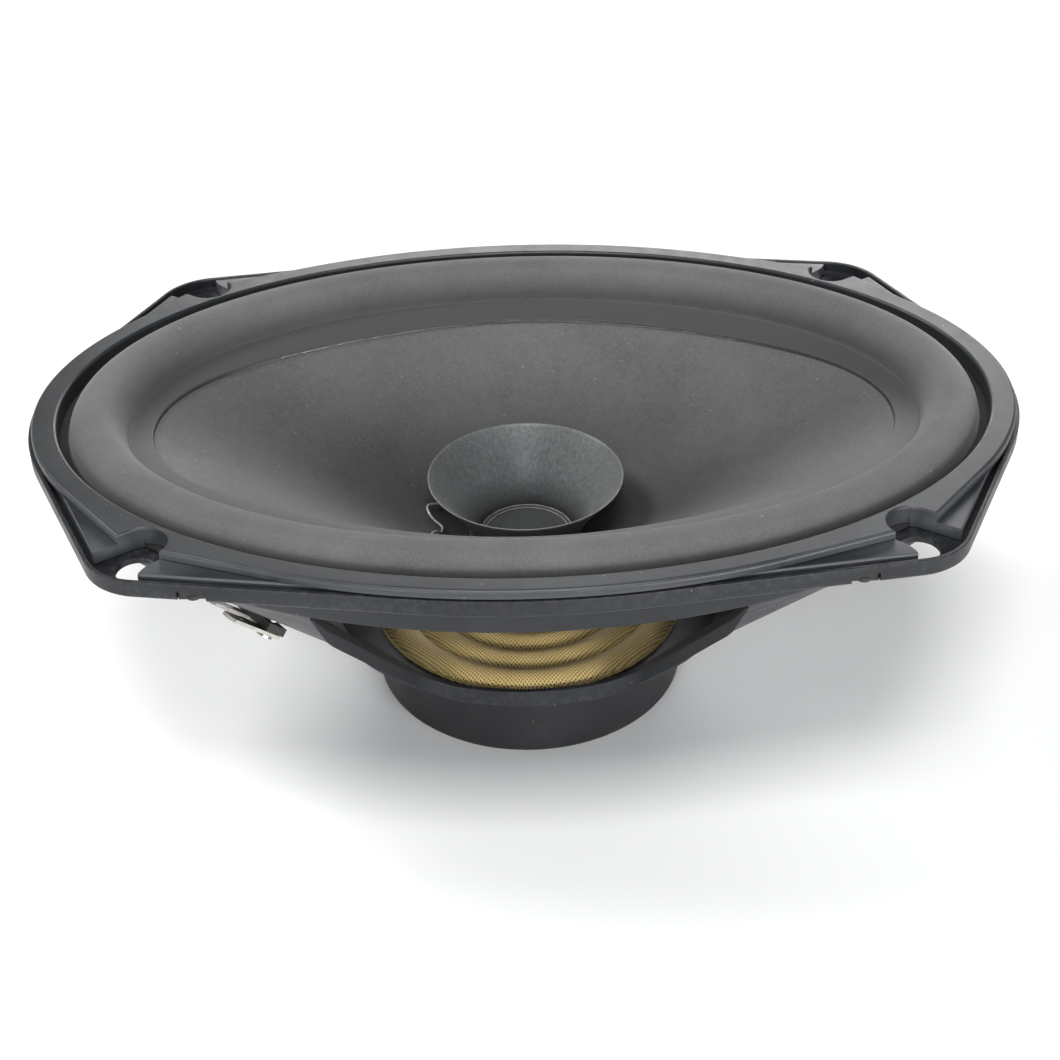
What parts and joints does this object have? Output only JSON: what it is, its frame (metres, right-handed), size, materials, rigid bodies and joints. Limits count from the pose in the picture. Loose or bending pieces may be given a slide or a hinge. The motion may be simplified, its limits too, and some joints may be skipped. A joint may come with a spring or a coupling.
{
  "type": "oval car loudspeaker",
  "caption": "Oval full-range car loudspeaker with a stamped basket, trim ring, paper cone with a whizzer cone, and a booted magnet.",
  "frame": {"origin": "middle of the flat bottom of the magnet boot, under the middle of the cone", "axes": "+Z the way the cone faces, +X along the long axis of the oval, -Y the side with the terminals nearer"},
  "size_m": [0.2354, 0.16, 0.0821],
  "materials": {
    "basket_paint": "satin dark grey paint with fine dust and wear",
    "trim_plastic": "moulded grey plastic, satin band over a matte web",
    "surround_foam": "matte speckled grey foam",
    "spider_cloth": "resin-stiffened woven cloth, golden tan",
    "cone_paper": "mottled dark grey pulp",
    "whizzer_paper": "smooth dark grey paper with a soft sheen",
    "dust_cap_paper": "matte dark paper",
    "former_film": "amber film",
    "coil_copper": "enamelled copper wire",
    "boot_rubber": "soft near-black vinyl, slightly glossy",
    "ferrite": "matte sintered ferrite",
    "plated_steel": "zinc-plated steel",
    "terminal_phenolic": "dark brown-black laminate",
    "terminal_brass": "dull plated brass",
    "tinsel_braid": "tinned copper braid"
  },
  "bodies": {
    "frame": {"basket": "basket_paint", "trim_ring": "trim_plastic", "surround": "surround_foam", "spider": "spider_cloth", "terminal_board": "terminal_phenolic", "terminal_board_rivet": "plated_steel", "terminal_tab_positive": "terminal_brass", "terminal_tab_negative": "terminal_brass", "terminal_rivet_positive": "terminal_brass", "terminal_rivet_negative": "terminal_brass", "tinsel_lead_positive": "tinsel_braid", "tinsel_lead_negative": "tinsel_braid", "top_plate": "plated_steel", "magnet": "ferrite", "back_plate": "plated_steel", "magnet_boot": "boot_rubber", "basket_rivet_1": "plated_steel", "basket_rivet_2": "plated_steel", "basket_rivet_3": "plated_steel", "basket_rivet_4": "plated_steel"},
    "cone_assembly": {"cone": "cone_paper", "whizzer_cone": "whizzer_paper", "dust_cap": "dust_cap_paper", "voice_coil_former": "former_film", "voice_coil": "coil_copper", "lead_eyelet_positive": "terminal_brass", "lead_eyelet_negative": "terminal_brass", "coil_wire_positive": "coil_copper", "coil_wire_negative": "coil_copper"}
  },
  "joints": [
    {"name": "cone_travel", "type": "slide", "parent": "frame", "child": "cone_assembly", "axis": [0, 0, 1], "range_m": [-0.003, 0.003], "stiffness_N_per_m": 2500, "deforming": ["surround", "spider", "tinsel_lead_positive", "tinsel_lead_negative"]}
  ]
}
